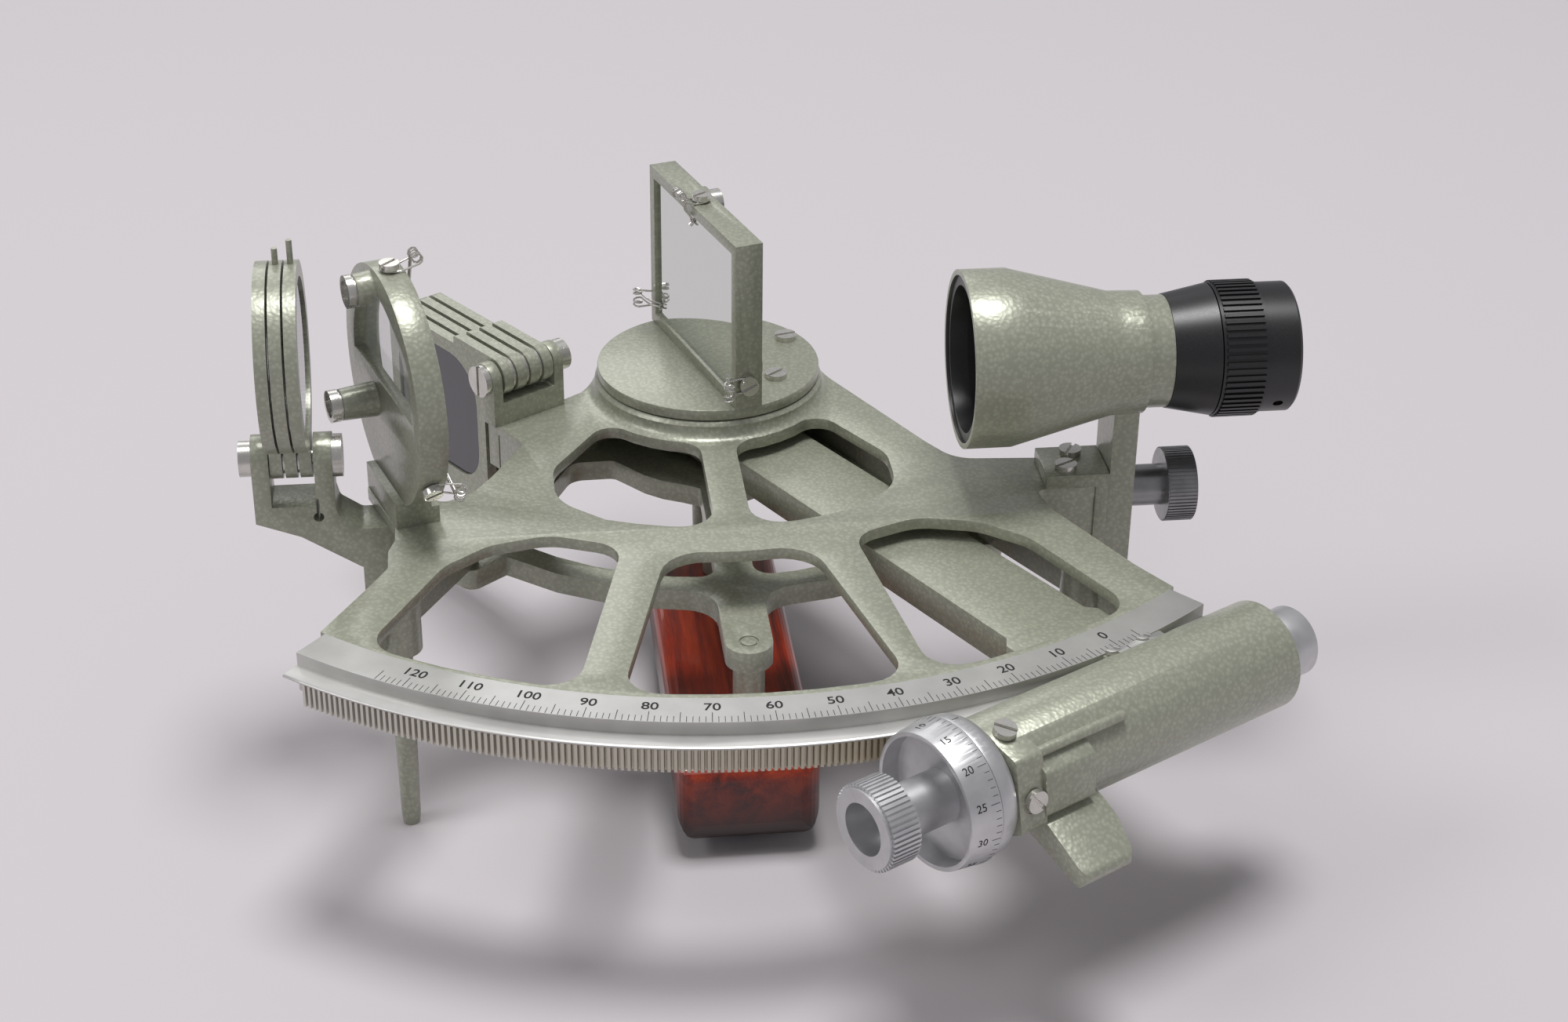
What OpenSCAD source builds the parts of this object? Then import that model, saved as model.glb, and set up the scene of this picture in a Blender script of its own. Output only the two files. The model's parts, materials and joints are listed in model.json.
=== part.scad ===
/* [Limb and frame] */
// Outer radius of the silver scale arc, measured from the pivot
limb_r = 165; // [164.5:0.1:165.5]
// Angle from the middle of the limb to either end
limb_half_deg = 40.2; // [40:0.1:40.4]
// Height of the limb's top face over the table
deck_h = 70; // [66:1:76]
// Thickness of the cast frame plate
plate_t = 3; // [2.8:0.1:3.4]
// Angle of the rack taken by one tooth, one turn of the worm
tooth_deg = 0.5; // [0.5:0.5:0.5]
/* [Index arm and micrometer] */
// Angle of the arm from the middle of the limb, with the index near zero
arm_deg = 30; // [30:0.5:30]
// Half of the arm's width
arm_half_w = 11.6; // [11:0.1:11.8]
// Distance of the worm's axis from the pivot
worm_r = 177.2; // [177.2:0.1:177.2]
// Outer radius of the cast worm housing
housing_r = 13.3; // [13:0.1:13.5]
// Outer radius of the engraved drum at its open face
drum_r = 16; // [15.5:0.1:16.2]
/* [Mirrors] */
// Width of the index mirror's frame
index_mirror_w = 60.7; // [58:0.5:61]
// Height of the index mirror's frame over its base
index_mirror_h = 46.5; // [44:0.5:48]
// Angle of the index mirror's face to the left-right line
index_mirror_deg = 17; // [16:0.5:18]
// Radius of the round horizon mirror's frame
horizon_mirror_r = 30.3; // [29:0.1:30.5]
// Angle of the horizon mirror's face to the left-right line
horizon_mirror_deg = 17.7; // [17:0.1:18]
/* [Shades] */
// Outer radius of a round horizon shade
horizon_shade_r = 23.5; // [23:0.1:24]
// Width of an index shade's square leaf
index_shade_w = 44.8; // [43:0.1:45]
// Thickness of each shade's rim
shade_t = 3; // [2.6:0.1:3]
/* [Telescope] */
// Radius of the telescope's bell mouth
bell_r = 22.6; // [22:0.1:23]
// Height of the telescope's axis over the limb's top face
sight_z = 34; // [33:0.5:35]
/* [Handle] */
// Width of the wooden handle
handle_w = 35.6; // [32:0.1:36]
/* [Hidden] */
$fn = 48;
sage = "#8d9683";
silver = "#c9cac8";
black = "#1b1b1c";
// The pivot's place in the part's own frame, whose origin is under the middle of the whole instrument
pivot_x = -10.05;
pivot_y = 83.8;
// How far the frame's openings sit to the left of the pivot
window_off = 0.7;
// Radii across the limb: frame plate, silver face, ledge, tooth tips and tooth roots
seat_r = limb_r - 9.8;
face_in_r = limb_r - 5;
ledge_r = limb_r + 5;
tip_r = limb_r + 4.6;
root_r = limb_r + 3.6;
rim_z = -5;
rack_z = -10.2;
ledge_z = -3.4;
rack_end_deg = 38.5;
// Pivot and its bearings
boss_r = 31;
boss_z = 4.6;
shaft_r = 5;
bush_r = 8;
running = 0.05;
// Index arm and the bridge under it
arm_z0 = -14.5;
arm_z1 = -6;
bridge_z0 = -21.6;
bridge_z1 = -16;
bridge_in_r = 75.6;
bridge_out_r = 82.8;
bridge_hub_r = 27.5;
spoke_half_w = 4.8;
// Handle under the bridge
handle_z1 = -44;
handle_z0 = -67;
handle_y0 = -120.5;
handle_y1 = -9;
handle_off = 1.1;
post_y = -106.2;
rear_post_y = -24;
post_r = 3.95;
// Legs
leg_x = 84.3;
leg_y = -96.6;
rear_leg_y = 24;
leg_r = 3.1;
tip_h = 3;
// Horizon mirror, in its own directions: n along its normal and t across it
hm_back = -99.5;
hm_front = -92.5;
hm_t = -30;
hm_z = 34;
hm_glass_r = 25.4;
// Horizon shades on a left-right axle
hs_y = -58.5;
hs_z = 15;
hs_x0 = -114.3;
hs_step = 3.6;
hs_reach = 27.5;
hs_glass_r = 19.5;
hs_axle_r = 2;
// Index shades on an axle along the path of the light
path_deg = 34;
is_off = -21.5;
is_z = 12.5;
is_s0 = -55.8;
is_step = 4.25;
is_lug_r = 5.2;
is_axle_r = 1.8;
is_edge = -2.6;
// Telescope on its sliding pillar
tel_y = -58.5;
pillar_x0 = 97.1;
pillar_x1 = 103.6;
screw_z = -4.6;
rise_up = 12;
// Worm and its housing, with s measured along the worm's axis from the arm's middle
worm_z = -8.2;
pin_r = 167;
pin_z = -19;
pin_rod_r = 1.5;
worm_root = 7.5;
worm_crest = 8.3;
worm_turns = 10;
house_s0 = -53.4;
house_s1 = 35.1;
collar_s = -45.9;
ring_s = -60.5;
drum_s = -68.2;
knob_s = -77.3;
chamber_r = 9.2;
journal_r = 4.5;
pitch = (limb_r + 3.9) * sin(tooth_deg);

// A point at radius r, a degrees round from the middle of the limb towards the right
function pol(r, a) = [r * sin(a), -r * cos(a)];
function unit(v) = v / norm(v);
// The points that round one corner of an outline, p = [x, y, radius], between its neighbours
function corner(a, p, b, n) =
    p[2] == 0 ? [[p[0], p[1]]] :
    let (
        o = [p[0], p[1]],
        u = unit([a[0], a[1]] - o),
        v = unit([b[0], b[1]] - o),
        half = acos(u * v) / 2,
        c = o + unit(u + v) * p[2] / sin(half),
        s = o + u * p[2] / tan(half) - c,
        e = o + v * p[2] / tan(half) - c,
        a0 = atan2(s[1], s[0]),
        turn = atan2(s[0] * e[1] - s[1] * e[0], s * e)
    )
    [for (i = [0:n]) c + p[2] * [cos(a0 + turn * i / n), sin(a0 + turn * i / n)]];
function rounded(pts, n = 6) =
    [for (i = [0:len(pts) - 1]) each corner(pts[(i + len(pts) - 1) % len(pts)], pts[i], pts[(i + 1) % len(pts)], n)];
// Corners along an arc about the pivot, the first and the last rounded to c
function arc(r, angles, c = 0) =
    [for (i = [0:len(angles) - 1]) [each pol(r, angles[i]), (i == 0 || i == len(angles) - 1) ? c : 0]];
// The same corners on the other side of the left-right middle
function mirrored(pts) = [for (p = pts) [-p[0], p[1], p[2]]];

// A closed outline, rounded at its corners, between two heights
module slab(pts, z0, z1, n = 6) {
    translate([0, 0, z0]) linear_extrude(z1 - z0) polygon(rounded(pts, n));
}
// The part's own frame: everything is drawn about the pivot at the limb's top face
module placed() {
    translate([pivot_x, pivot_y, deck_h]) children();
}
// Directions: x along the radius at the arm's angle, y along the worm's axis
module on_arm() {
    rotate([0, 0, arm_deg - 90]) children();
}
// A cylinder along x from x0 to x1 at a height and depth
module bar_x(r, x0, x1, y = 0, z = 0) {
    translate([x0, y, z]) rotate([0, 90, 0]) cylinder(r = r, h = x1 - x0);
}
// A cylinder along y from y0 to y1
module bar_y(r, y0, y1, x = 0, z = 0) {
    translate([x, y0, z]) rotate([-90, 0, 0]) cylinder(r = r, h = y1 - y0);
}
module rod_z(r, z0, z1, x = 0, y = 0) {
    translate([x, y, z0]) cylinder(r = r, h = z1 - z0);
}
module block(x0, x1, y0, y1, z0, z1) {
    translate([x0, y0, z0]) cube([x1 - x0, y1 - y0, z1 - z0]);
}
// A turned shape about the x axis, drawn as [x, radius] points
module turned_x(pts, y, z) {
    translate([0, y, z]) rotate([0, 90, 0]) rotate([0, 0, 90])
        rotate_extrude($fn = 72) polygon([for (p = pts) [p[1], p[0]]]);
}
// A profile of [radius, height] points swept about the pivot along the limb
module limb_sweep(pts, half) {
    rotate([0, 0, -90 - half]) rotate_extrude(angle = 2 * half, $fn = 180) polygon(pts);
}
// A slotted round screw head standing on z = 0, with the slot turned by a
module screw_head(r, h, a = 0) {
    difference() {
        cylinder(r = r, h = h);
        rotate([0, 0, a]) translate([-r - 1, -0.45, h - 0.7]) cube([2 * r + 2, 0.9, 2]);
    }
}
// Directions square to a wire, each carried on from the one before it
function carried(along, b, i = 0) =
    i == len(along) ? [] :
    let (c = unit(b - (b * along[i]) * along[i]))
    concat([c], carried(along, c, i + 1));
// A round wire of radius r through points, as one tube of six sides
module wire(points, r) {
    n = len(points);
    along = [for (i = [0:n - 1]) unit(points[min(i + 1, n - 1)] - points[max(i - 1, 0)])];
    side = carried(along, cross(along[0], [0, 1, 0]));
    rings = [
        for (i = [0:n - 1], k = [0:5])
            points[i] + r * (cos(60 * k) * side[i] + sin(60 * k) * cross(along[i], side[i]))
    ];
    sides = [
        for (i = [0:n - 2], k = [0:5])
            let (a = 6 * i + k, b = 6 * i + (k + 1) % 6)
            each [[a, a + 6, b], [b, a + 6, b + 6]]
    ];
    caps = concat([for (k = [1:4]) [0, k, k + 1]], [for (k = [1:4]) [6 * n - 6, 6 * n - 6 + k + 1, 6 * n - 6 + k]]);
    polyhedron(points = rings, faces = concat(sides, caps));
}
// The least space that a wire leaves to itself, between places at least apart points away along it
function finer(pts) = [for (i = [0:len(pts) - 2], k = [0:3]) pts[i] + (pts[i + 1] - pts[i]) * k / 4];
function least_gap(pts, r, apart) =
    min([for (i = [0:len(pts) - 1 - apart]) min([for (j = [i + apart:len(pts) - 1]) norm(pts[i] - pts[j])])]) - 2 * r;

// A double spring clip of one wire: its middle loops behind the screw's shank, each half winds into a coil
// in front of the frame's edge and comes down over the glass. Directions: x out of the frame's front,
// y along its edge, z away from the edge that the screw stands on, screw_x behind the front.
module clip(screw_x, border, recess) {
    wire_r = 0.28;
    coil = [3, 2.9];
    coil_r = 1.2;
    inner_y = 0.55;
    pitch_y = 1.15;
    low = wire_r + 0.05 - recess;
    start = -78;
    turn = 618;
    half = concat(
        [for (a = [180, 150, 120, 95]) [-screw_x + 1.75 * cos(a), 1.75 * sin(a), 0.36]],
        [[2.4 - screw_x, 2.05, 0.38]],
        [for (i = [0:14]) let (a = start + turn * i / 14)
            [coil[0] + coil_r * cos(a), inner_y + pitch_y * (turn - turn * i / 14) / 360, coil[1] + coil_r * sin(a)]],
        [[1.75, inner_y, 1.6], [1.6, inner_y, 0], [1.2, inner_y, -border * 0.65], [low + 0.3, inner_y, -border - 1.2],
            [low, inner_y, -border - 2.3], [low + 0.1, inner_y, -border - 2.8], [low + 0.7, inner_y, -border - 3.3]]
    );
    n = len(half);
    path = concat([for (i = [n - 1:-1:1]) [half[i][0], -half[i][1], half[i][2]]], half);
    echo("clip wire, least space to itself", least_gap(finer(path), wire_r, 24));
    wire(path, wire_r);
}
// A clip's screw standing on the edge: shank through the loop and a slotted head above it
module clip_screw(screw_x, a) {
    translate([-screw_x, 0, -0.5]) cylinder(r = 1.3, h = 1.4);
    translate([-screw_x, 0, 0.75]) screw_head(2.5, 1.5, a);
}

// Openings of the frame, each as rounded corners, the upper one on the right-hand side
upper_window = [
    [4.6, -33.2, 7], each arc(33.4, [22, 31, 40]), [28.6, -18.6, 5.5], [43.7, -43.5, 12], [43.7, -60.5, 15],
    each arc(78, [24, 18, 12]), [4.6, -78, 8]
];
centre_window = [
    [each pol(90.3, -11.3), 11], each arc(90.3, [-3.5, 0, 3.5]), [each pol(90.3, 11.3), 11],
    [each pol(153.7, 12.3), 8], each arc(153.7, [8, 4, 0, -4, -8]), [each pol(153.7, -12.3), 8]
];
// The lower window on the left; the spoke beside it leans a little differently on the two sides
function side_window(top, low_deg) = [
    each arc(153.8, [-35.8, -32, -28, -24, -20], 8), [each pol(153.8, -low_deg), 8],
    [top, -85, 8], [-46, -77.8, 14], [-61, -81.5, 14], [-72, -90.5, 14]
];
frame_right = [
    [each pol(180, 40.4), 0], [101.4, -117.8, 0], [94.4, -106.2, 30], [79.5, -76.1, 10], [78, -66.7, 2],
    [93.5, -66.7, 0], [93.5, -51, 0], [80.7, -49.5, 2], [60.2, -47.9, 10], [54.1, -37.7, 12], [27.6, 14.1, 0]
];
frame_left = [
    [-20, 18, 0], [-30.5, 6.1, 3], [-34.9, -0.2, 4], [-40.4, -4.5, 3], [-58.3, -16.5, 0.8], [-51.4, -28.9, 2],
    [-59.9, -45.7, 12], [-64.6, -53.5, 4], [-73.8, -59.6, 3], [-79.2, -43.6, 2], [-92.2, -47.6, 2],
    [-84.5, -69.9, 4], [-84.5, -76.5, 3], [-86.1, -82, 3], [-86.1, -90, 3],
    [-91.4, -100, 6], [-101.4, -117.8, 0], [each pol(180, -40.4), 0]
];

// The cast frame: plate, pivot boss, the bosses of the legs and the walls that carry the bridge
module frame() {
    boss_fillet = 3.2;
    color(sage) placed() difference() {
        union() {
            intersection() {
                slab(concat(frame_right, frame_left, [[each pol(190, 0), 0]]), -plate_t, 0);
                rod_z(seat_r, -plate_t, 0, $fn = 180);
            }
            limb_sweep([[seat_r - 3, rim_z], [face_in_r, rim_z], [face_in_r, -2.5], [seat_r - 3, -2.5]],
                limb_half_deg);
            rod_z(boss_r, -plate_t, boss_z - 1, $fn = 96);
            translate([0, 0, boss_z - 1]) cylinder(r1 = boss_r, r2 = boss_r - 1, h = 1, $fn = 96);
            intersection() {
                slab(concat(frame_right, frame_left, [[each pol(190, 0), 0]]), -1, boss_z);
                rotate_extrude($fn = 96) polygon(concat([[boss_r - 1, -1], [boss_r + boss_fillet, -1]],
                    [for (a = [0:15:90]) [boss_r + boss_fillet * (1 - sin(a)), boss_fillet * (1 - cos(a))]],
                    [[boss_r - 1, boss_fillet]]));
            }
            for (m = [-1, 1]) {
                rod_z(5.6, -18.5, -plate_t, m * leg_x, leg_y);
                slab([[m * 95, -115.2, 0], [m * 98.8, -113, 0], [m * 79, -76, 0], [m * 69, -59.3, 0],
                    [m * 64.5, -61.7, 0], [m * 74.6, -79.6, 0]], bridge_z1, -plate_t);
            }
            slab([[76, -66.6, 2], [93.5, -66.6, 0], [93.5, -51.1, 0], [80.7, -49.6, 0], [74, -53, 0]], -20, -plate_t);
            slab([[27, 13.9, 0], [53.5, -37.4, 8], [59.8, -48.4, 6], [77, -50.2, 0], [77, -54.4, 0],
                [57.4, -52.4, 6], [49.6, -38.8, 8], [23.4, 12, 0]], bridge_z1, -plate_t);
            slab([[-20.2, 17.2, 0], [-30.2, 5.2, 3], [-34.8, -0.8, 4], [-40.4, -5, 3], [-57.8, -16.8, 0.8],
                [-51.6, -28.6, 2], [-48.1, -26.8, 2], [-52.2, -17.6, 0.5], [-37.6, -7.8, 3], [-31.6, -3.2, 4],
                [-17.2, 14.6, 0]], bridge_z1, -plate_t);
            slab([[-20, 17.6, 0], [27, 14, 0], [13, 31, 6], [-13, 31, 6]], bridge_z1, -plate_t);
        }
        translate([-window_off, 0, 0]) {
            for (m = [0, 1]) mirror([m, 0, 0]) slab(upper_window, rim_z - 1, 1);
            slab(centre_window, rim_z - 1, 1);
            slab(side_window(-28.2, 16.1), rim_z - 1, 1);
            slab(mirrored(side_window(-28.9, 14.4)), rim_z - 1, 1);
        }
        rod_z(bush_r, -20, 10);
        rod_z(14.6, -20, -plate_t - 1);
        rod_z(2.55, -20, -plate_t - 3, 0, rear_leg_y);
        for (m = [-1, 1]) rod_z(2.55, -20, -plate_t - 3, m * leg_x, leg_y);
    }
}

// The bright arc let into the frame's edge: scale face, ledge and the toothed rack below it
module limb_rack() {
    tooth_n = floor(rack_end_deg / tooth_deg);
    half_tip = (tooth_deg - 0.75 / tip_r * 180 / PI) / 2;
    half_root = (tooth_deg - 0.4 / root_r * 180 / PI) / 2;
    teeth = [
        for (i = [-tooth_n:tooth_n])
            let (a = (i + 0.5) * tooth_deg)
            each [pol(root_r, a - half_root), pol(tip_r, a - half_tip), pol(tip_r, a + half_tip), pol(root_r, a + half_root)]
    ];
    end = (tooth_n + 1) * tooth_deg;
    back = [for (i = [12:-1:-12]) pol(face_in_r + 2, end * i / 12)];
    color(silver) placed() union() {
        limb_sweep([
            [seat_r, 0], [seat_r, -2.5], [face_in_r, -2.5], [face_in_r, rack_z], [limb_r, rack_z],
            [limb_r, ledge_z - 0.8], [ledge_r - 0.2, ledge_z - 0.8], [ledge_r, ledge_z - 0.4],
            [ledge_r, ledge_z - 0.25], [ledge_r - 0.6, ledge_z], [limb_r, ledge_z], [limb_r, 0]
        ], limb_half_deg);
        translate([0, 0, rack_z]) linear_extrude(ledge_z - 0.8 - rack_z) polygon(concat(teeth, back));
    }
}

// Casting under the arm: lower bearing, two openings, outer bar and the tongue that holds the handle
module handle_bridge() {
    outer_deg = [44, 33, 22, 17];
    color(sage) placed() difference() {
        union() {
            slab([
                [-13, 31, 6], [13, 31, 6], [26.5, 13.6, 0], [53, -37.4, 12], [59.6, -48.2, 10], [73, -60, 4],
                [66.5, -67, 3], each arc(bridge_out_r, outer_deg), [5.9, -82.6, 9], [5.9, post_y, 0],
                [-5.9, post_y, 0], [-5.9, -82.6, 9], each arc(bridge_out_r, [-17, -22, -33, -44]),
                [-66.5, -67, 3], [-73, -60, 4], [-54.6, -37.8, 12], [-51, -28.7, 2],
                [-57.4, -17, 1], [-40.2, -5.2, 4], [-34.6, -0.8, 4], [-30, 5, 3], [-20, 17, 0]
            ], bridge_z0, bridge_z1);
            rod_z(5.9, bridge_z0, bridge_z1, 0, post_y);
            rod_z(post_r, handle_z1, bridge_z0, 0, post_y);
            rod_z(post_r, handle_z1, bridge_z0, 0, rear_post_y);
        }
        slab([
            [spoke_half_w, -28.5, 1.5], each arc(bridge_hub_r, [20, 32, 44, 56]), [24.5, -12.5, 2.5], [32.5, -12.5, 5],
            [38, -22, 10], [46.5, -40, 10], [52.5, -54.5, 5], each arc(bridge_in_r, [36, 28, 20, 12]),
            [spoke_half_w, -75.3, 4.5]
        ], bridge_z0 - 1, bridge_z1 + 1);
        slab([
            [-spoke_half_w, -28.5, 1.5], each arc(bridge_hub_r, [-20, -32, -44, -56]), [-27, -10.5, 3], [-38.5, -10.8, 5],
            [-44.5, -24, 10], [-49, -38, 10], [-52.5, -54.5, 5], each arc(bridge_in_r, [-36, -28, -20, -12]),
            [-spoke_half_w, -75.3, 4.5]
        ], bridge_z0 - 1, bridge_z1 + 1);
        rod_z(bush_r, bridge_z0 - 1, bridge_z1 + 1);
        difference() {
            rod_z(2.45, bridge_z1 - 0.5, bridge_z1 + 1, 0, post_y);
            rod_z(2, bridge_z1 - 1, bridge_z1 + 2, 0, post_y);
        }
        rod_z(2.55, bridge_z0 - 1, bridge_z1 + 1, 0, rear_leg_y);
        for (y = [post_y, rear_post_y]) rod_z(1.6, handle_z1 - 1, handle_z1 + 12, 0, y);
    }
}

// Wooden grip, its lower front edge and long edges rounded
module wooden_handle() {
    left = -handle_w / 2 - handle_off;
    right = handle_w / 2 - handle_off;
    color("#6e2413") placed() difference() {
        intersection() {
            translate([left, 0, 0]) rotate([90, 0, 90]) linear_extrude(handle_w) polygon(rounded([
                [handle_y0, handle_z0, 7], [handle_y1, handle_z0, 8], [handle_y1, handle_z1, 5], [handle_y0, handle_z1, 4]
            ]));
            translate([0, handle_y1 + 1, 0]) rotate([90, 0, 0]) linear_extrude(handle_y1 - handle_y0 + 2) polygon(rounded([
                [left, handle_z0, 10], [right, handle_z0, 10], [right, handle_z1, 3.5], [left, handle_z1, 3.5]
            ]));
            slab([[left, handle_y0, 5], [right, handle_y0, 5], [right, handle_y1, 8], [left, handle_y1, 8]],
                handle_z0 - 1, handle_z1 + 1);
        }
        for (y = [post_y, rear_post_y]) {
            rod_z(1.7, handle_z0 - 1, handle_z1 + 1, 0, y);
            rod_z(3.6, handle_z0 - 1, handle_z0 + 4, 0, y);
        }
    }
}

// Two screws that hold the handle to its posts from below
module handle_screws() {
    color(silver) placed() for (y = [post_y, rear_post_y]) {
        rod_z(1.6, handle_z0 + 3, handle_z1 + 10, 0, y);
        translate([0, y, handle_z0 + 4]) mirror([0, 0, 1]) screw_head(3.3, 2.5);
    }
}

// Three legs: two under the limb's ends and one behind the pivot
module legs() {
    color(sage) placed() for (p = [[-leg_x, leg_y, -18.5], [leg_x, leg_y, -18.5], [0, rear_leg_y, bridge_z0]]) {
        translate([p[0], p[1], -deck_h + tip_h]) cylinder(r1 = 2.4, r2 = leg_r, h = deck_h - tip_h + p[2]);
        rod_z(2.5, p[2] - 0.5, -plate_t - 3, p[0], p[1]);
    }
}
module leg_tips() {
    color("#4a4038") placed() for (p = [[-leg_x, leg_y], [leg_x, leg_y], [0, rear_leg_y]])
        translate([p[0], p[1], -deck_h]) cylinder(r1 = 2.1, r2 = 2.4, h = tip_h);
}

// Upper bush in the frame's boss and lower bush in the bridge
module pivot_bushes() {
    color("#b5a468") placed() difference() {
        union() {
            rod_z(bush_r, -plate_t, boss_z);
            rod_z(bush_r, bridge_z0, bridge_z1);
        }
        rod_z(shaft_r + running, -40, 20);
    }
}

// Directions at the horizon mirror: x along its normal, y across it, z up
module on_horizon_mirror() {
    rotate([0, 0, horizon_mirror_deg]) children();
}
// Places round the horizon mirror's edge, a degrees from its top: z out of the edge, x out of its front
module at_horizon_edge(a) {
    translate([hm_front, hm_t, hm_z]) rotate([a, 0, 0]) translate([0, 0, horizon_mirror_r]) children();
}
hm_clips = [1.5, 124.5];
hm_screw_x = 3.5;
// Bosses of the two adjusters: across, height, end of the boss and end of its cap
hm_bosses = [[hm_t + 4, hm_z + 24.4, -103.8, -106.1], [hm_t + 8, hm_z - 7.5, -108.4, -111.3]];

// Round frame of the horizon mirror on its foot, with a plate behind the lower half of the glass
module horizon_mirror_frame() {
    color(sage) placed() difference() {
        on_horizon_mirror() difference() {
            union() {
                bar_x(horizon_mirror_r, hm_back, hm_front, hm_t, hm_z, $fn = 96);
                block(hm_back - 2.2, hm_front + 2, hm_t - 12.3, hm_t + 12.3, 0, 4.5);
                block(hm_back - 2.2, hm_front, hm_t - 12.3, hm_t + 12.3, 4, 7);
                for (p = hm_bosses) translate([p[2], p[0], p[1]]) rotate([0, 90, 0])
                    cylinder(r1 = 4, r2 = 4.5, h = hm_back + 0.5 - p[2]);
            }
            bar_x(hm_glass_r, hm_back + 3, hm_front + 4, hm_t, hm_z, $fn = 96);
            intersection() {
                bar_x(24, hm_back - 1, hm_back + 4, hm_t, hm_z, $fn = 96);
                block(hm_back - 2, hm_back + 5, hm_t - 30, hm_t + 30, hm_z, hm_z + 30);
            }
        }
        for (a = hm_clips) on_horizon_mirror() at_horizon_edge(a) {
            translate([-hm_screw_x, 0, -0.5]) cylinder(r = 1.3, h = 3);
            translate([-7, -3.4, -0.02]) cube([9.5, 6.8, 4]);
        }
    }
}
module horizon_mirror_glass() {
    color("#c9d3d0") placed() on_horizon_mirror()
        bar_x(hm_glass_r - 0.1, hm_back + 3, hm_front - 0.8, hm_t, hm_z, $fn = 96);
}
// Spring clips that press the horizon glass into its frame, one above and one below
module horizon_mirror_clips() {
    color(silver) placed() on_horizon_mirror() for (a = hm_clips)
        at_horizon_edge(a) clip(hm_screw_x, horizon_mirror_r - hm_glass_r, 0.8);
}
module horizon_mirror_screws() {
    color(silver) placed() on_horizon_mirror() for (a = hm_clips) at_horizon_edge(a) clip_screw(hm_screw_x, 30);
}
// Two capped adjusting screws on the back of the horizon mirror
module horizon_mirror_adjusters() {
    color(silver) placed() on_horizon_mirror() for (p = hm_bosses) difference() {
        union() {
            bar_x(3.5, p[2] - 0.6, p[2], p[0], p[1]);
            bar_x(4.1, p[3], p[2] - 0.6, p[0], p[1]);
        }
        bar_x(2.8, p[3] - 1, p[3] + 1, p[0], p[1]);
    }
}

// Fork of the horizon shades on its bent arm, bolted under the frame's left edge
module horizon_shade_fork() {
    ears = [[-118.9, -114.6], [-103.6, -99.1]];
    color(sage) placed() difference() {
        union() {
            for (e = ears) {
                bar_x(6, e[0], e[1], hs_y, hs_z);
                block(e[0], e[1], hs_y - 6, hs_y + 6, 2, hs_z);
            }
            translate([0, hs_y + 6, 0]) rotate([90, 0, 0]) linear_extrude(12) polygon(rounded([
                [-118.9, -0.4, 0], [-108, -4.6, 0], [-93.5, -14.1, 2], [-80, -15.4, 1], [-80, -plate_t, 0],
                [-93, -plate_t, 2], [-98.3, 0.7, 2], [-99.1, 4, 0], [-118.9, 4, 0]
            ]));
            slab([[-93.3, -64.5, 0], [-80, -64.5, 0], [-80, -52.5, 0], [-90, -52.5, 0]], -21.5, -14);
        }
        bar_x(hs_axle_r, -125, -95, hs_y, hs_z);
        bar_y(1.3, hs_y - 7, hs_y + 7, -103.3, 0.8);
        block(-103.7, -102.9, hs_y - 7, hs_y + 7, 0.8, 6);
    }
}
module horizon_shade_axle() {
    color(silver) placed() {
        bar_x(hs_axle_r, -119, -99, hs_y, hs_z);
        bar_x(4.5, -122, -118.9, hs_y, hs_z);
        bar_x(5.4, -99.1, -96.7, hs_y, hs_z);
    }
}
module horizon_shade_washers() {
    color(silver) placed() difference() {
        for (i = [1, 2]) bar_x(4, hs_x0 + i * hs_step - 0.5, hs_x0 + i * hs_step - 0.1, hs_y, hs_z);
        bar_x(hs_axle_r, -125, -95, hs_y, hs_z);
    }
}
// One round shade: rim, hinge lug and, on the inner two, a finger pin
module horizon_shade(i) {
    x0 = hs_x0 + i * hs_step;
    x1 = x0 + shade_t;
    color(sage) placed() difference() {
        union() {
            bar_x(horizon_shade_r, x0, x1, hs_y, hs_z + hs_reach, $fn = 96);
            bar_x(5.2, x0, x1, hs_y, hs_z);
            block(x0, x1, hs_y - 5.2, hs_y + 5.2, hs_z, hs_z + 8);
            if (i > 0) rod_z(0.75, hs_z + hs_reach, 68 + 2 * i, (x0 + x1) / 2, hs_y + 3);
        }
        bar_x(hs_glass_r, x0 - 1, x1 + 1, hs_y, hs_z + hs_reach, $fn = 96);
        bar_x(hs_axle_r + running, x0 - 1, x1 + 1, hs_y, hs_z);
    }
}
module horizon_shade_glass(i, tint) {
    x0 = hs_x0 + i * hs_step;
    color(tint) placed() bar_x(hs_glass_r, x0 + 0.6, x0 + shade_t - 0.6, hs_y, hs_z + hs_reach, $fn = 96);
}

// Directions at the index shades: x along the light, y towards the near side, z up from the axle
module on_path() {
    rotate([0, 0, path_deg]) translate([0, -is_off, is_z]) children();
}
module index_shade_fork() {
    color(sage) placed() on_path() difference() {
        union() {
            for (e = [[-59.2, -56.2], [-39.4, -36.4]]) {
                bar_x(4.6, e[0], e[1]);
                block(e[0], e[1], -4.6, 2, -is_z, 0);
            }
            block(-59.2, -36.4, -4.6, 2, -is_z, 6.4 - is_z);
            block(-57, -38, is_edge + 0.02, 2, -is_z - 14, 1 - is_z);
        }
        bar_x(is_axle_r, -70, -30);
    }
}
module index_shade_axle() {
    color(silver) placed() on_path() {
        bar_x(is_axle_r, -59.2, -36.4);
        difference() {
            bar_x(4.3, -61, -59.2);
            block(-62, -60.3, -0.5, 0.5, -5, 5);
        }
        bar_x(4.3, -36.4, -33.4);
    }
}
module index_shade_washers() {
    color(silver) placed() on_path() difference() {
        for (i = [1:3]) bar_x(4.6, is_s0 + i * is_step - 1.1, is_s0 + i * is_step - 0.15);
        bar_x(is_axle_r, -70, -30);
    }
}
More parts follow.
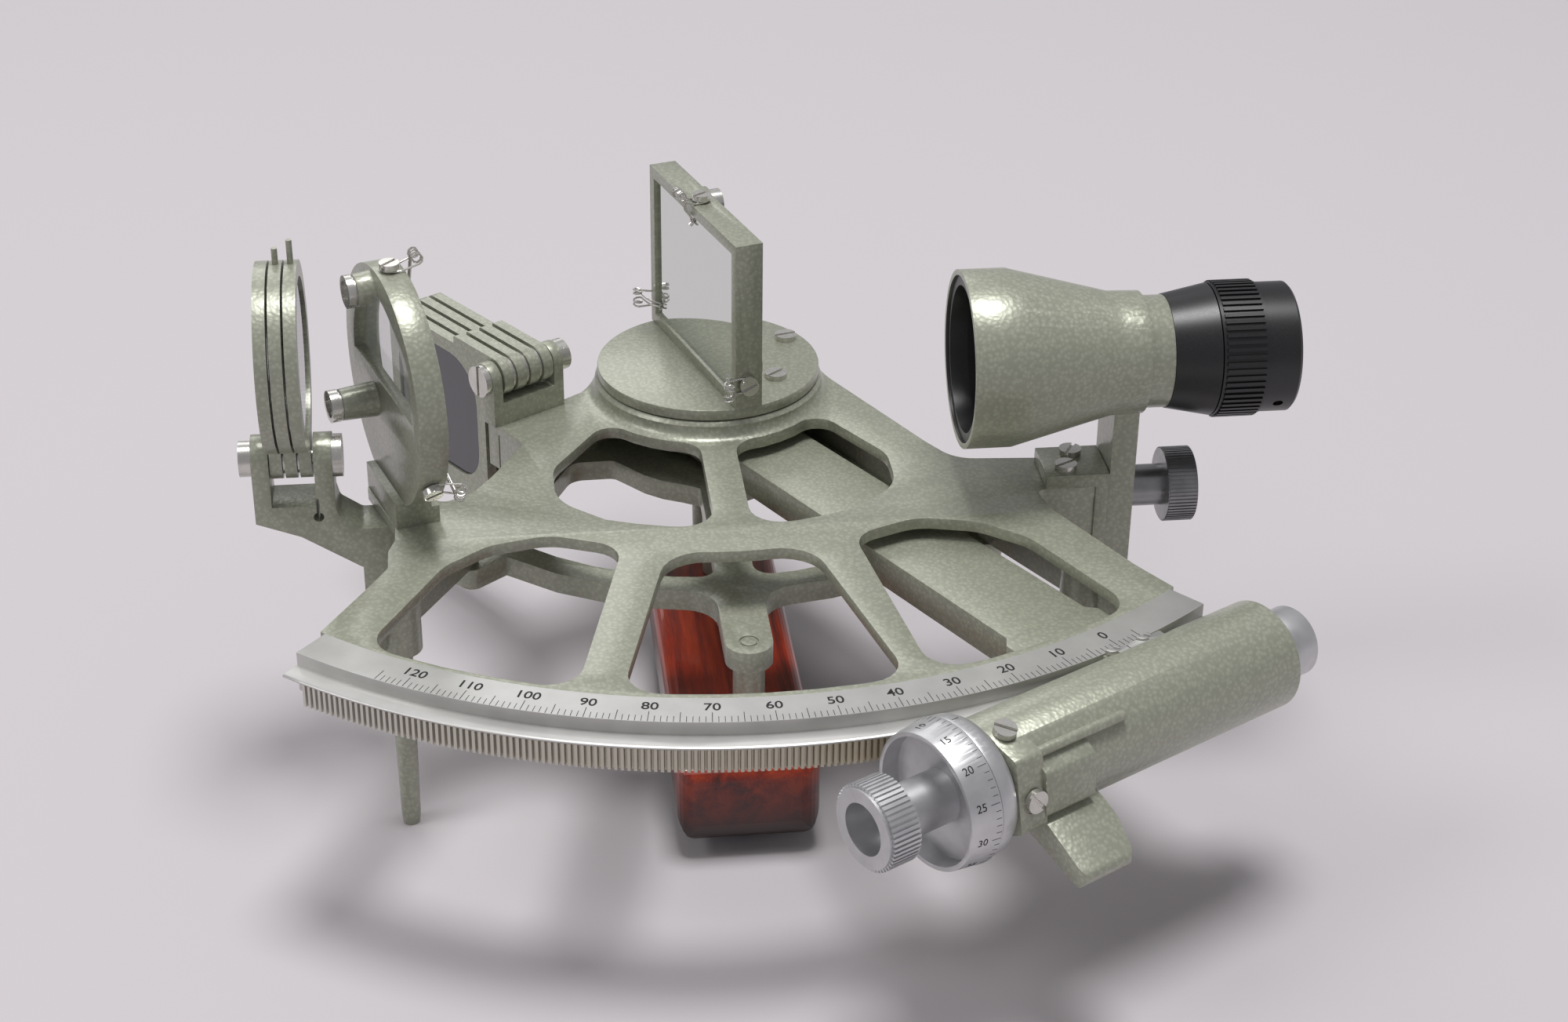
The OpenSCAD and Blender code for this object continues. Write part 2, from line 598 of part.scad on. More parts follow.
// Drawn up in the light's path, then swung over the top to hang outside the frame
module leaf_pose() {
    rotate([-180, 0, 0]) children();
}
// A flat shape of the leaf, drawn as [y, z] points, from x0 to x1
module leaf_plate(pts, x0, x1) {
    translate([x0, 0, 0]) rotate([90, 0, 90]) linear_extrude(x1 - x0) polygon(rounded(pts));
}
leaf_in = -5.3;
leaf_out = leaf_in - index_shade_w;
leaf_glass = [
    [leaf_in - 3.6, 0.6, 12], [leaf_in - 3.6, 36.3, 9], [leaf_out + 3.6, 36.3, 9], [leaf_out + 3.6, 0.6, 12]
];
module index_shade(i) {
    x0 = is_s0 + i * is_step;
    x1 = x0 + shade_t;
    color(sage) placed() on_path() leaf_pose() difference() {
        union() {
            leaf_plate([[leaf_in, -is_lug_r, 0], [leaf_in, 43, 7], [leaf_out, 43, 7], [leaf_out, -3, 3],
                [-18.5, -3, 0.4], [-18.5, -is_lug_r, 0.6]], x0, x1);
            leaf_plate([[0, -is_lug_r, 0], [0, is_lug_r, 0], [-2.2, 5.3, 0], [-6, 9, 0], [-6, -is_lug_r, 0]], x0, x1);
            bar_x(is_lug_r, x0, x1);
        }
        leaf_plate(leaf_glass, x0 - 1, x1 + 1);
        bar_x(is_axle_r + running, x0 - 1, x1 + 1);
    }
}
module index_shade_glass(i, tint) {
    x0 = is_s0 + i * is_step;
    color(tint) placed() on_path() leaf_pose() leaf_plate(leaf_glass, x0 + 0.6, x0 + shade_t - 0.6);
}

// Angle bracket of the telescope on the frame's right-hand pad
module telescope_bracket() {
    color(sage) placed() difference() {
        union() {
            block(80.6, 97, -67, -51, 0, 3.8);
            block(93.5, 97, -67, -51, -24, 3.8);
        }
        bar_x(2.5, 90, 100, tel_y, screw_z);
    }
}
module bracket_screws() {
    color(silver) placed() for (p = [[86.2, -63, 30], [89, -55, 60]])
        translate([p[0], p[1], 3.8]) screw_head(2.9, 1.6, p[2]);
}
// Knurled screw that clamps the telescope's pillar to the bracket
module telescope_thumbscrew() {
    color("#2a2a2b") placed() {
        bar_x(2.5 - running, 93.5, 103.7, tel_y, screw_z);
        bar_x(5.4, 103.7, 112.8, tel_y, screw_z);
        bar_x(9.7, 112.8, 120.5, tel_y, screw_z, $fn = 64);
    }
}
// Bell-shaped tube of the telescope in one casting with its slotted pillar
module telescope_body() {
    color(sage) placed() difference() {
        union() {
            turned_x([[58.3, 0], [58.3, bell_r], [70, bell_r], [96, 15.8], [104, 15.6], [104, 14.3], [110.2, 14.3],
                [110.2, 0]], tel_y, sight_z);
            block(pillar_x0, pillar_x1, tel_y - 8, tel_y + 8, -27, sight_z);
        }
        turned_x([[57, 0], [57, 21.2], [66, 20.9], [68, 20.2], [95, 14], [111, 12.3], [111, 0]], tel_y, sight_z);
        block(90, 110, tel_y - 2.7, tel_y + 2.7, screw_z - rise_up - 0.2, screw_z + 0.2);
        bar_x(2.7, 90, 110, tel_y, screw_z + 0.2);
        bar_x(2.7, 90, 110, tel_y, screw_z - rise_up - 0.2);
    }
}
module objective_ring() {
    color(black) placed() turned_x([[59, 18.6], [59, 21.05], [66, 20.8], [66, 17.8], [63.5, 18]], tel_y, sight_z);
}
module objective_lens() {
    color("#9fb0b5") placed() turned_x([[66.6, 0], [66.5, 10], [66.05, 18], [66.05, 20.6], [68, 20.1], [71, 0]],
        tel_y, sight_z);
}
module eyepiece_cone() {
    color(black) placed() turned_x([[100, 11], [100, 12.85], [110.2, 12.2], [110.25, 14.5], [121.5, 16.8],
        [121.5, 13.1], [126, 13.1], [126, 11]], tel_y, sight_z);
}
// Ribbed focusing ring that turns on the cone's sleeve
module focus_ring() {
    ribs = 60;
    color(black) placed() difference() {
        union() {
            bar_x(16.9, 121.8, 133.5, tel_y, sight_z, $fn = 96);
            for (i = [0:ribs - 1]) translate([0, tel_y, sight_z]) rotate([360 * i / ribs, 0, 0])
                block(122.6, 132.7, -0.45, 0.45, 16, 17.4);
        }
        bar_x(13.1 + running, 121, 134, tel_y, sight_z, $fn = 72);
    }
}
module eyepiece_end() {
    color(black) placed() difference() {
        union() {
            turned_x([[133.5, 9.5], [133.5, 16.5], [141.4, 16.5], [142.1, 15.8], [142.1, 12.5], [139, 9.5]],
                tel_y, sight_z);
            turned_x([[127, 9.5], [127, 13.1 + running], [133.5, 13.1 + running], [133.5, 9.5]], tel_y, sight_z);
        }
        translate([137.5, tel_y, sight_z]) rotate([125, 0, 0]) translate([0, 0, 15.6]) cylinder(r = 1.3, h = 3);
    }
}
module eye_lens() {
    color("#9fb0b5") placed() turned_x([[131, 0], [132, 9.5], [134, 9.5], [136, 0]], tel_y, sight_z);
}

// Flat arm under the frame, with its hub, the step near the limb and the lugs of the carriage pin
module index_arm() {
    color(sage) placed() on_arm() difference() {
        union() {
            rod_z(14, arm_z0, arm_z1);
            slab([
                [0, -arm_half_w, 0], [139.5, -arm_half_w - 0.8, 1], [142, -arm_half_w - 3.1, 1], [158.5, -arm_half_w - 3.1, 0],
                [158.5, arm_half_w + 3.1, 0], [142, arm_half_w + 3.1, 1], [139.5, arm_half_w + 0.8, 1], [0, arm_half_w, 0]
            ], arm_z0, arm_z1);
            block(150, 162.5, -24, 24, arm_z0, rack_z - 1.6);
            for (s = [-20, 20]) {
                block(157, 166.4, s - 3.5, s + 3.5, pin_z, -13.2);
                bar_y(3.4, s - 3.5, s + 3.5, pin_r, pin_z);
            }
        }
        rod_z(shaft_r, arm_z0 - 1, arm_z1 + 1);
        bar_y(pin_rod_r, -30, 30, pin_r, pin_z);
    }
}
// Pivot shaft, held under the bridge by its nut
module index_shaft() {
    color(silver) placed() {
        rod_z(shaft_r, -24.6, boss_z + 0.3);
        rod_z(8.5, -25, bridge_z0 - 0.2, $fn = 6);
    }
}
module mirror_base() {
    color(sage) placed() rod_z(30.2, boss_z + 0.3, 8, $fn = 96);
}
// Directions at the index mirror: x along its normal, out of its face
module on_index_mirror() {
    rotate([0, 0, 180 + index_mirror_deg]) children();
}
module index_mirror_frame() {
    w = index_mirror_w / 2;
    color(sage) placed() on_index_mirror() difference() {
        union() {
            block(-2.9, 4.6, -w, w, 8, 8 + index_mirror_h);
            block(-11, -2.9, -12, 12, 8, 11);
            bar_x(4.6, -6.5, -2.9, -16, 47);
        }
        block(0.4, 6, -w + 3, w - 3, 8 + 3, 8 + index_mirror_h - 3);
        at_index_clips() translate([-im_screw_x, 0, -0.5]) cylinder(r = 1.3, h = 1);
    }
}
module index_mirror_glass() {
    w = index_mirror_w / 2;
    color("#c9d3d0") placed() on_index_mirror() block(0.4, 3.6, -w + 3.1, w - 3.1, 11.1, 8 + index_mirror_h - 3.1);
}
// Places of the three clips: z out of the frame's edge, x out of its front, y along the edge
module at_index_clips() {
    w = index_mirror_w / 2;
    translate([4.6, -1, 8 + index_mirror_h]) children();
    translate([4.6, w, 15]) rotate([-90, 0, 0]) children();
    translate([4.6, -w, 14.3]) rotate([90, 0, 0]) children();
}
im_screw_x = 3.3;
// Three spring clips over the edges of the index mirror's glass
module index_mirror_clips() {
    color(silver) placed() on_index_mirror() at_index_clips() clip(im_screw_x, 3, 1);
}
// Clip screws, the two screws of the base and the capped adjuster behind the mirror
module index_mirror_screws() {
    color(silver) placed() {
        on_index_mirror() {
            at_index_clips() clip_screw(im_screw_x, 20);
            bar_x(3.6, -10, -6.5, -16, 47);
        }
        for (p = [[22.7, 11.9, 15], [17.3, -11.7, 40]]) translate([p[0], p[1], 8]) screw_head(3, 1.4, p[2]);
    }
}
module carriage_pin() {
    color(silver) placed() on_arm() bar_y(pin_rod_r, -25.5, 25.5, pin_r, pin_z);
}

// The space that the limb needs through the housing, with room for the carriage to swing clear
module limb_clearance() {
    limb_sweep([[140, 0.8], [limb_r + 0.6, 0.8], [limb_r + 0.6, -2.4], [ledge_r + 0.6, -2.4],
        [ledge_r + 0.6, rack_z - 1.4], [140, rack_z - 1.4]], 80);
}
// Places on the worm's axis: x outward from the pivot, y along the axis, z up
module at_worm(s = 0) {
    on_arm() translate([worm_r, s, worm_z]) children();
}
// An outline of [outward, up] points across the worm's axis, from s0 to s1
module across_worm(pts, s0, s1) {
    at_worm(s1) rotate([90, 0, 0]) linear_extrude(s1 - s0) polygon(rounded(pts));
}
// Screws of the collar: place along the axis, angle upward and radius of the seat
collar_screws = [[-49.7, 74, 13.5], [-49.2, 3, 14]];
module worm_housing() {
    color(sage) placed() difference() {
        union() {
            at_worm() {
                bar_y(housing_r, house_s0, house_s1 - 1.3, $fn = 96);
                translate([0, house_s1 - 1.3, 0]) rotate([-90, 0, 0]) cylinder(r1 = housing_r, r2 = 12, h = 1.3, $fn = 96);
            }
            across_worm([[0, 0, 0], [-1.15, 13.15, 0], [12.04, 10.84, 1.5], [15.3, -6.2, 1], [11, -9, 0]],
                house_s0, collar_s);
            across_worm([[8, 5, 0], [10, 9, 0], [14.4, 6.2, 1.5], [15.2, -4.3, 1], [11, -7, 0]], collar_s - 0.5, -32);
            hull() {
                across_worm([[8, 8, 0], [9.6, 11.2, 0.3], [12.04, 10.84, 0.5], [12.6, 7.6, 0.3]], collar_s - 0.5, collar_s);
                across_worm([[9, 7.6, 0], [9.7, 8.9, 0], [10.6, 7.9, 0]], -19.9, -19.4);
            }
            intersection() {
                across_worm([[8, -4, 0], [15.5, -6.5, 2.5], [28.6, -13.2, 1.5], [26.5, -17.2, 1.5], [10.2, -11.8, 2],
                    [6, -10, 0]], -46, -29.2);
                at_worm() slab([[5, -46, 0], [29.5, -46, 3.5], [28.6, -31.5, 4], [20, -29.2, 6], [5, -29.2, 0]], -20, 0);
            }
            on_arm() {
                bar_y(3.4, -15.9, 15.9, pin_r, pin_z);
                block(163.8, worm_r, -15.9, 15.9, -19.4, -14);
                block(166, 171.5, -6.5, 11.5, -3, 0.5);
            }
        }
        limb_clearance();
        on_arm() block(160, 170.05, -6.5, 11.5, 0.5, 6);
        for (p = collar_screws) at_worm(p[0]) rotate([0, -p[1], 0]) bar_x(3.2, p[2], p[2] + 6);
        at_worm() {
            bar_y(journal_r + running, house_s0 - 1, house_s1 + 1);
            bar_y(chamber_r, -13, 13);
        }
        on_arm() {
            bar_y(pin_rod_r + running, -30, 30, pin_r, pin_z);
            for (s = [-20, 20]) {
                bar_y(4.2, s - 4, s + 4, pin_r, pin_z);
                block(155, pin_r, s - 4, s + 4, pin_z, -12.6);
            }
        }
    }
}
module housing_screws() {
    color(silver) placed() for (p = collar_screws)
        at_worm(p[0]) rotate([0, -p[1], 0]) translate([p[2], 0, 0]) rotate([0, 90, 0]) screw_head(2.7, 1.5, 40);
}
// Ring with the reading mark between the housing and the drum
module vernier_ring() {
    color(silver) placed() at_worm() difference() {
        rotate([-90, 0, 0]) rotate_extrude($fn = 96) polygon([[0, ring_s + 0.3], [16.7, ring_s + 0.3], [16.5, -57],
            [15.6, -55.4], [12.9, house_s0], [0, house_s0]]);
        bar_y(journal_r + running, -90, 40);
    }
}
module worm_end_cap() {
    color(silver) placed() at_worm() difference() {
        union() {
            bar_y(8.6, house_s1, house_s1 + 9.6, $fn = 72);
            bar_y(8.2, house_s1, house_s1 + 10.1, $fn = 72);
        }
        bar_y(journal_r + running, -90, house_s1 + 2);
    }
}
// Small plate over the limb's edge that carries the index mark, on its pad of the housing
module index_pointer() {
    color(silver) placed() on_arm() {
        block(166.3, 170, -3.2, 10.8, 0.5, 1.3);
        for (s = [-4.1, 5.5]) translate([166.1, s, 0.9]) intersection() {
            screw_head(1.9, 1.1, 30);
            block(-0.1, 3, -3, 3, -1, 3);
        }
    }
}

// Worm and journals: a right-handed ridge whose pitch is one rack tooth
module worm_shaft() {
    seg = 24;
    count = seg * worm_turns;
    thread = [
        for (i = [0:count])
            let (a = 360 * i / seg, s = pitch * (i / seg - worm_turns / 2))
            each [
                [worm_root - 0.2, s - 0.29, a], [worm_root - 0.2, s + 0.29, a],
                [worm_crest, s + 0.125, a], [worm_crest, s - 0.125, a]
            ]
    ];
    points = [for (p = thread) [-p[0] * cos(p[2]), p[1], p[0] * sin(p[2])]];
    sides = [
        for (i = [0:count - 1], k = [0:3])
            let (a = 4 * i + k, b = 4 * i + (k + 1) % 4)
            each [[a, a + 4, b], [b, a + 4, b + 4]]
    ];
    ends = [[0, 2, 3], [0, 1, 2], [4 * count, 4 * count + 2, 4 * count + 1], [4 * count, 4 * count + 3, 4 * count + 2]];
    color(silver) placed() on_arm() translate([worm_r, 0, worm_z]) union() {
        polyhedron(points = points, faces = concat(sides, ends));
        bar_y(worm_root, -10, 10, $fn = 72);
        bar_y(journal_r, knob_s, house_s1 + 1.6);
    }
}
// Engraved drum: a slightly tapered ring with a web inside it, open towards the knob
module micrometer_drum() {
    color(silver) placed() at_worm() difference() {
        translate([0, drum_s, 0]) rotate([-90, 0, 0]) cylinder(r1 = drum_r, r2 = drum_r + 1.05, h = ring_s - drum_s, $fn = 96);
        bar_y(14.9, drum_s - 1, drum_s + 4.6, $fn = 72);
        bar_y(journal_r, -90, 40);
    }
}
// Turned stem and knurled knob with a deep hollow in its face
module drum_knob() {
    color(silver) placed() at_worm() difference() {
        union() {
            bar_y(6.2, knob_s - 1, drum_s + 4.6);
            bar_y(10.1, knob_s - 7.2, knob_s, $fn = 72);
            bar_y(9.7, knob_s - 8, knob_s, $fn = 72);
        }
        bar_y(6.1, knob_s - 9, knob_s - 1);
        bar_y(journal_r, knob_s, 40);
    }
}

frame();
limb_rack();
handle_bridge();
wooden_handle();
handle_screws();
legs();
leg_tips();
pivot_bushes();
horizon_mirror_frame();
horizon_mirror_glass();
horizon_mirror_clips();
horizon_mirror_screws();
horizon_mirror_adjusters();
horizon_shade_fork();
horizon_shade_axle();
horizon_shade_washers();
horizon_shade(0);  // horizon_shade_1
horizon_shade(1);  // horizon_shade_2
horizon_shade(2);  // horizon_shade_3
horizon_shade_glass(0, "#3a4038");  // horizon_shade_glass_1
horizon_shade_glass(1, "#5a5f52");  // horizon_shade_glass_2
horizon_shade_glass(2, "#8a8f80");  // horizon_shade_glass_3
index_shade_fork();
index_shade_axle();
index_shade_washers();
index_shade(0);  // index_shade_1
index_shade(1);  // index_shade_2
index_shade(2);  // index_shade_3
index_shade(3);  // index_shade_4
index_shade_glass(0, "#2b2f36");  // index_shade_glass_1
index_shade_glass(1, "#3a4038");  // index_shade_glass_2
index_shade_glass(2, "#4c5148");  // index_shade_glass_3
index_shade_glass(3, "#6a6f62");  // index_shade_glass_4
telescope_bracket();
bracket_screws();
telescope_thumbscrew();
telescope_body();
objective_lens();
objective_ring();
eyepiece_cone();
focus_ring();
eyepiece_end();
eye_lens();
index_arm();
index_shaft();
mirror_base();
index_mirror_frame();
index_mirror_glass();
index_mirror_clips();
index_mirror_screws();
carriage_pin();
worm_housing();
housing_screws();
vernier_ring();
worm_end_cap();
index_pointer();
worm_shaft();
micrometer_drum();
drum_knob();
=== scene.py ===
"""Drum sextant: finishes, engraving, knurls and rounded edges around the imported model."""
import json
import math

import bpy
from mathutils import Matrix, Vector


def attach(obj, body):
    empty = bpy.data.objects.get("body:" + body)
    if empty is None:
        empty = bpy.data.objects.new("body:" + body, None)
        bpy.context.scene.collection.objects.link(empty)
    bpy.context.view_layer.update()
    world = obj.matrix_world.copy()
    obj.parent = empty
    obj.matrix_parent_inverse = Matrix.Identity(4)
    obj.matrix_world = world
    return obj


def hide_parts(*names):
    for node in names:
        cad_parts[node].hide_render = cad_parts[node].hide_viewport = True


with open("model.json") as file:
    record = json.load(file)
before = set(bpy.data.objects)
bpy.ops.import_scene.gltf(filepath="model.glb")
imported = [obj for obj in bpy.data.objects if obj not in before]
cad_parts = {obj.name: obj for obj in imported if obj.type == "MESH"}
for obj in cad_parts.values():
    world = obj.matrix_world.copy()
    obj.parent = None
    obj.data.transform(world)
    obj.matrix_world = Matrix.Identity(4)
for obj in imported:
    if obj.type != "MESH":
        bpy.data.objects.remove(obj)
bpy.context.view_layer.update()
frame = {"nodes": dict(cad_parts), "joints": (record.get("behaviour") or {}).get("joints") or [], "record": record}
NODES = frame["nodes"]

MM = 0.001
# The pivot at the limb's top face, taken from the arm's own joint
PIVOT = Vector(next(j["pos_m"] for j in frame["joints"] if j["name"] == "index_swing"))
# The limb: outer radius of its silver face, and the turn of the arm at rest, in degrees from the middle
LIMB_R = 165.0
ARM_DEG = 30.0
# The worm's axis: distance from the pivot, and height under the limb's top face
WORM_R = 177.2
WORM_Z = -8.2
# The drum along that axis: front and back edge and their radii
DRUM_S0, DRUM_S1 = -68.2, -60.5
DRUM_R0, DRUM_R1 = 16.0, 17.05
# Its sixty divisions, and the turn of its zero from the top
DRUM_LINES = 60
DRUM_STEP_DEG = 360 / DRUM_LINES
DRUM_ZERO_DEG = -81.0
# The housing's rib: length, middle along the axis, distance from the axis, angle over the level
RIB_LONG, RIB_MIDDLE, RIB_R, RIB_DEG = 31.5, -35.8, 14.0, 43.0
RIB_WIDE, RIB_HIGH, RIB_ROUND = 2.5, 3.2, 1.1
# The telescope, from the pivot: its axis and that of its clamping screw run along x
TEL_Y = -58.5
SCREW_Z = -4.6
SIGHT_Z = 34.0
# Its bore, just over the widest inside radius, starts behind the mouth's rim
BORE_R = 21.4
BORE_X = 58.5
# Where the clamping screw's smooth collar ends
COLLAR_X = 112.9
# The rack: under the ledge, and outside the limb's silver face
RACK_TOP_Z = -4.3
RACK_IN_R = 165.2
# Engraved lines and numbers: how far their middle lies over the metal, and how thick they are
MARK_LIFT = 0.01
MARK_THICK = 0.04


def srgb(code):
    """A hex colour, as written for a screen, turned to the linear values that shaders take."""
    parts = [int(code[i:i + 2], 16) / 255 for i in (1, 3, 5)]
    return [p / 12.92 if p <= 0.04045 else ((p + 0.055) / 1.055) ** 2.4 for p in parts] + [1.0]


def add(tree, kind, inputs=None, **settings):
    """Adds one node with its settings, and sets or links its inputs."""
    made = tree.nodes.new(kind)
    for name, value in settings.items():
        setattr(made, name, value)
    for name, value in (inputs or {}).items():
        if isinstance(value, bpy.types.NodeSocket):
            tree.links.new(value, made.inputs[name])
        else:
            made.inputs[name].default_value = value
    return made


def start(name):
    """A new material with its shader linked to the output."""
    made = bpy.data.materials.new(name)
    made.use_nodes = True
    tree = made.node_tree
    tree.nodes.clear()
    shader = add(tree, "ShaderNodeBsdfPrincipled")
    add(tree, "ShaderNodeOutputMaterial", {"Surface": shader.outputs["BSDF"]})
    return made, tree, shader


def link(tree, source, shader, name):
    """Links a socket to one of the shader's inputs."""
    tree.links.new(source, shader.inputs[name])


def ramp(tree, factor, stops):
    """A colour ramp over (position, hex) stops."""
    made = add(tree, "ShaderNodeValToRGB", {"Fac": factor})
    elements = made.color_ramp.elements
    while len(elements) < len(stops):
        elements.new(0.5)
    for element, (place, code) in zip(elements, stops):
        element.position = place
        element.color = srgb(code)
    return made.outputs["Color"]


def hammertone_enamel():
    """Stoved hammertone enamel on cast alloy: grey-green, with silver flakes gathered into
    shallow round dimples about 1.1 mm across, paler in their middles, and a soft gloss."""
    made, tree, shader = start("hammertone_enamel")
    place = add(tree, "ShaderNodeTexCoord").outputs["Object"]
    # The cells are pushed about by up to 0.9 mm, so that no two are alike
    warp = add(tree, "ShaderNodeTexNoise", {"Vector": place, "Scale": 420.0, "Detail": 1.0})
    bent = add(tree, "ShaderNodeVectorMath", {0: warp.outputs["Color"], 1: (0.0009, 0.0009, 0.0009)},
               operation="MULTIPLY")
    spot = add(tree, "ShaderNodeVectorMath", {0: place, 1: bent.outputs["Vector"]}, operation="ADD")
    cells = add(tree, "ShaderNodeTexVoronoi", {"Vector": spot.outputs["Vector"], "Scale": 1000 / 1.1},
                feature="SMOOTH_F1")
    cells.inputs["Smoothness"].default_value = 0.35
    flakes = add(tree, "ShaderNodeTexNoise", {"Vector": place, "Scale": 1000 / 0.5, "Detail": 3.0})
    mixed = add(tree, "ShaderNodeMath", {0: flakes.outputs["Fac"], 1: 0.34}, operation="MULTIPLY")
    tone = add(tree, "ShaderNodeMath", {0: cells.outputs["Distance"], 1: mixed.outputs[0]}, operation="ADD")
    colour = ramp(tree, tone.outputs[0], [(0.12, "#b3b5a4"), (0.42, "#a9ab9a"), (0.8, "#9b9d8d")])
    link(tree, colour, shader, "Base Color")
    shader.inputs["Metallic"].default_value = 0.3
    shader.inputs["Roughness"].default_value = 0.36
    shader.inputs["Coat Weight"].default_value = 0.35
    shader.inputs["Coat Roughness"].default_value = 0.2
    bump = add(tree, "ShaderNodeBump",
               {"Height": cells.outputs["Distance"], "Strength": 0.5, "Distance": 0.11 * MM})
    link(tree, bump.outputs["Normal"], shader, "Normal")
    return made


def satin_alloy():
    """Satin alloy of the limb: milled, with faint lines that run round the pivot every 0.25 mm."""
    made, tree, shader = start("satin_alloy")
    place = add(tree, "ShaderNodeTexCoord").outputs["Object"]
    centred = add(tree, "ShaderNodeVectorMath", {0: place, 1: tuple(PIVOT)}, operation="SUBTRACT")
    flat = add(tree, "ShaderNodeVectorMath", {0: centred.outputs["Vector"], 1: (1, 1, 0)},
               operation="MULTIPLY")
    radius = add(tree, "ShaderNodeVectorMath", {0: flat.outputs["Vector"]}, operation="LENGTH")
    lines = add(tree, "ShaderNodeTexNoise",
                {"W": radius.outputs["Value"], "Scale": 1000 / 0.25, "Detail": 2.0}, noise_dimensions="1D")
    cloud = add(tree, "ShaderNodeTexNoise", {"Vector": place, "Scale": 1000 / 9.0, "Detail": 3.0})
    colour = ramp(tree, cloud.outputs["Fac"], [(0.3, "#c2c1be"), (0.7, "#cecdca")])
    link(tree, colour, shader, "Base Color")
    shader.inputs["Metallic"].default_value = 0.7
    rough = add(tree, "ShaderNodeMapRange", {"Value": lines.outputs["Fac"], "To Min": 0.3, "To Max": 0.44})
    link(tree, rough.outputs["Result"], shader, "Roughness")
    bump = add(tree, "ShaderNodeBump",
               {"Height": lines.outputs["Fac"], "Strength": 0.12, "Distance": 0.03 * MM})
    link(tree, bump.outputs["Normal"], shader, "Normal")
    return made


def turned_metal(name, light, dark, rough, metallic=1.0):
    """Turned and polished metal, with a faint cloud in its tone and fine marks 0.3 mm apart."""
    made, tree, shader = start(name)
    place = add(tree, "ShaderNodeTexCoord").outputs["Object"]
    cloud = add(tree, "ShaderNodeTexNoise", {"Vector": place, "Scale": 1000 / 5.0, "Detail": 3.0})
    link(tree, ramp(tree, cloud.outputs["Fac"], [(0.3, dark), (0.7, light)]), shader, "Base Color")
    fine = add(tree, "ShaderNodeTexNoise", {"Vector": place, "Scale": 1000 / 0.3, "Detail": 2.0})
    spread = add(tree, "ShaderNodeMapRange",
                 {"Value": fine.outputs["Fac"], "To Min": rough - 0.05, "To Max": rough + 0.06})
    link(tree, spread.outputs["Result"], shader, "Roughness")
    shader.inputs["Metallic"].default_value = metallic
    bump = add(tree, "ShaderNodeBump",
               {"Height": fine.outputs["Fac"], "Strength": 0.05, "Distance": 0.02 * MM})
    link(tree, bump.outputs["Normal"], shader, "Normal")
    return made


def cut_teeth():
    """Milled teeth: silver at the limb's left end, tarnished to brass towards the right, with marks
    0.3 mm apart."""
    made, tree, shader = start("milled_teeth")
    place = add(tree, "ShaderNodeTexCoord").outputs["Object"]
    across = add(tree, "ShaderNodeSeparateXYZ", {"Vector": place}).outputs["X"]
    share = add(tree, "ShaderNodeMapRange", {"Value": across, "From Min": -130 * MM, "From Max": 100 * MM})
    colour = ramp(tree, share.outputs["Result"], [(0.0, "#d2cfc9"), (0.55, "#bfb8a6"), (0.8, "#ad9869")])
    link(tree, colour, shader, "Base Color")
    fine = add(tree, "ShaderNodeTexNoise", {"Vector": place, "Scale": 1000 / 0.3, "Detail": 2.0})
    spread = add(tree, "ShaderNodeMapRange", {"Value": fine.outputs["Fac"], "To Min": 0.34, "To Max": 0.46})
    link(tree, spread.outputs["Result"], shader, "Roughness")
    shader.inputs["Metallic"].default_value = 0.6
    return made


def black_anodising():
    """Black anodised alloy: near black, satin, with a trace of turning marks."""
    made, tree, shader = start("black_anodised_alloy")
    place = add(tree, "ShaderNodeTexCoord").outputs["Object"]
    fine = add(tree, "ShaderNodeTexNoise", {"Vector": place, "Scale": 1000 / 0.4, "Detail": 2.0})
    link(tree, ramp(tree, fine.outputs["Fac"], [(0.3, "#141416"), (0.7, "#1d1d1f")]), shader, "Base Color")
    spread = add(tree, "ShaderNodeMapRange", {"Value": fine.outputs["Fac"], "To Min": 0.3, "To Max": 0.42})
    link(tree, spread.outputs["Result"], shader, "Roughness")
    shader.inputs["Specular IOR Level"].default_value = 0.6
    return made


def varnished_hardwood():
    """Red-brown hardwood under clear varnish: grain along the handle, with pores 0.4 mm wide. Its lower half is
    darkened by painted shade."""
    made, tree, shader = start("varnished_hardwood")
    place = add(tree, "ShaderNodeTexCoord").outputs["Object"]
    stretch = add(tree, "ShaderNodeMapping", {"Vector": place, "Scale": (1.0, 0.06, 1.0)})
    along = stretch.outputs["Vector"]
    rings = add(tree, "ShaderNodeTexNoise",
                {"Vector": along, "Scale": 1000 / 4.0, "Detail": 4.0, "Distortion": 0.6})
    pores = add(tree, "ShaderNodeTexNoise", {"Vector": along, "Scale": 1000 / 0.4, "Detail": 2.0})
    both = add(tree, "ShaderNodeMath", {0: pores.outputs["Fac"], 1: 0.35}, operation="MULTIPLY")
    total = add(tree, "ShaderNodeMath", {0: rings.outputs["Fac"], 1: both.outputs[0]}, operation="ADD")
    colour = ramp(tree, total.outputs[0], [(0.42, "#430d04"), (0.62, "#92240a"), (0.85, "#bf3f10")])
    # Painted shade: the wood fades to dark red-brown #2a1410 towards the handle's bottom, from 34 mm down to 8 mm
    # over the floor, for the shadow under the handle
    height = add(tree, "ShaderNodeSeparateXYZ", {"Vector": place}).outputs["Z"]
    unshaded_share = add(tree, "ShaderNodeMapRange", {"Value": height, "From Min": 8 * MM, "From Max": 34 * MM})
    painted_shade = add(tree, "ShaderNodeMix",
                 {"Factor": unshaded_share.outputs["Result"], "A": srgb("#2a1410"), "B": colour}, data_type="RGBA")
    link(tree, painted_shade.outputs[2], shader, "Base Color")
    shader.inputs["Roughness"].default_value = 0.35
    shader.inputs["Coat Weight"].default_value = 0.45
    shader.inputs["Coat Roughness"].default_value = 0.06
    bump = add(tree, "ShaderNodeBump",
               {"Height": pores.outputs["Fac"], "Strength": 0.1, "Distance": 0.05 * MM})
    link(tree, bump.outputs["Normal"], shader, "Normal")
    return made


